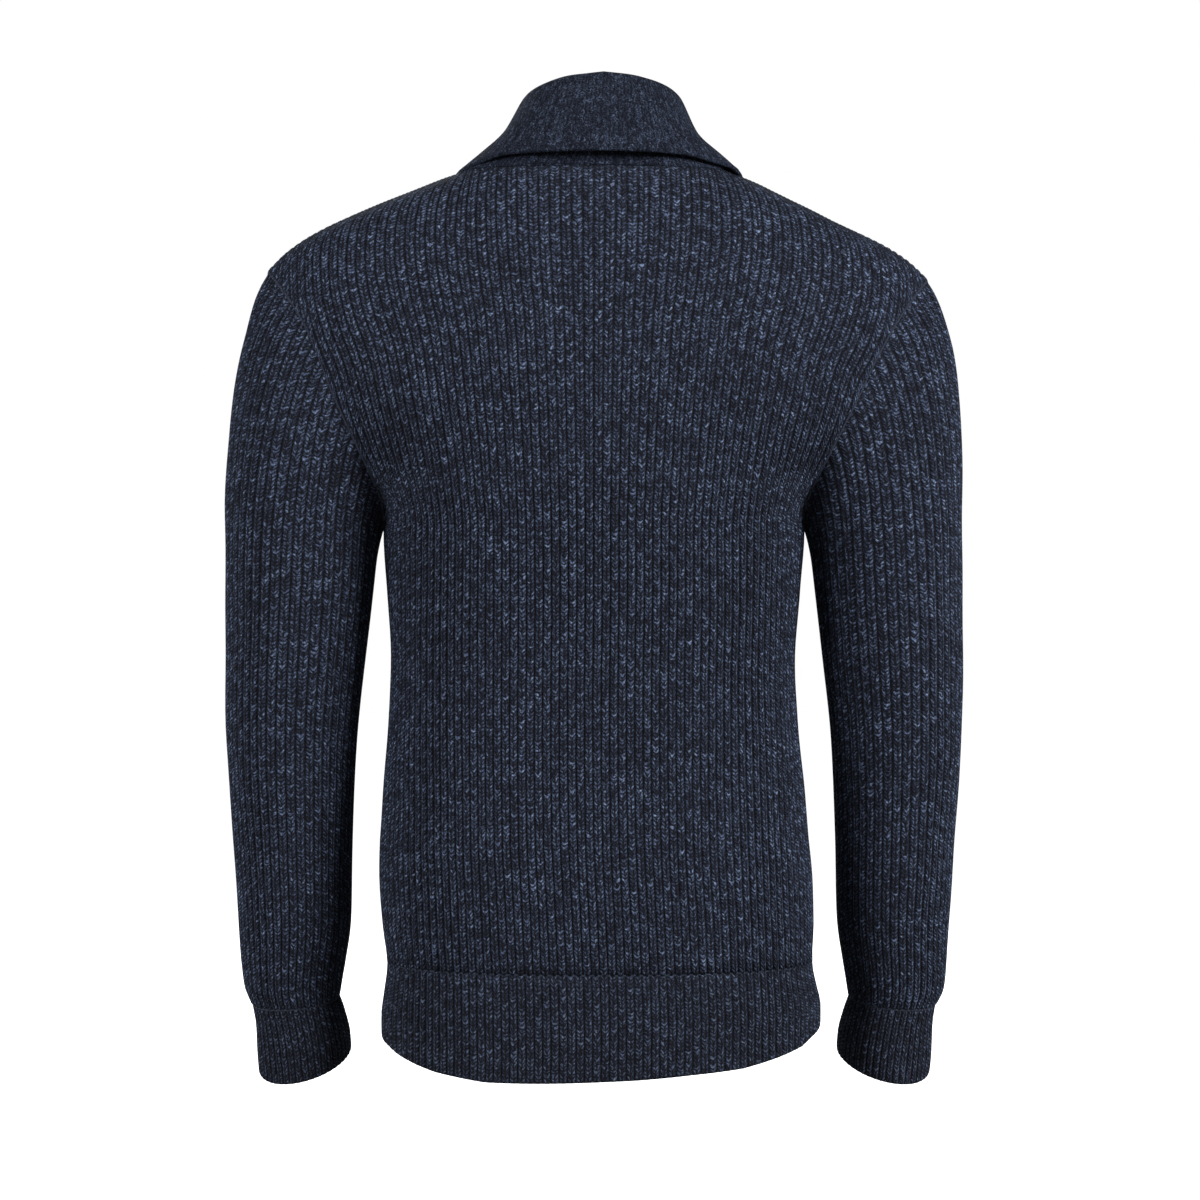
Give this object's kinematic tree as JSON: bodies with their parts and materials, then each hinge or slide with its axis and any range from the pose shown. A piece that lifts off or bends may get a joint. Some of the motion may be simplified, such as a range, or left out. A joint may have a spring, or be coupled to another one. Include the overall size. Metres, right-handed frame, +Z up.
{
  "type": "shawl collar cardigan",
  "caption": "Ribbed knit cardigan with a shawl collar, buttoned front, ribbed hem and cuffs, standing hollow as worn.",
  "frame": {"origin": "midway between the two high shoulder points, where the wearer's shoulders carry the cardigan", "axes": "+Z up, the front faces -Y, +X to the wearer's left"},
  "size_m": [0.5612, 0.2396, 0.7538],
  "materials": {
    "body": "matt, ribbed wool knit in a navy heather",
    "rib": "matt, close ribbed wool knit in a navy heather",
    "collar": "matt, fine wool knit in a navy heather",
    "button": "satin"
  },
  "bodies": {
    "root": {"back_panel": "body", "front_left": "body", "front_right": "body", "hem_back": "rib", "hem_front_left": "rib", "hem_front_right": "rib", "sleeve_left": "body", "sleeve_right": "body", "cuff_left": "rib", "cuff_right": "rib", "shawl_collar": "collar", "band_left": "collar", "band_right": "collar", "button_1": "button", "button_2": "button", "button_3": "button", "button_4": "button", "button_5": "button"}
  },
  "joints": []
}
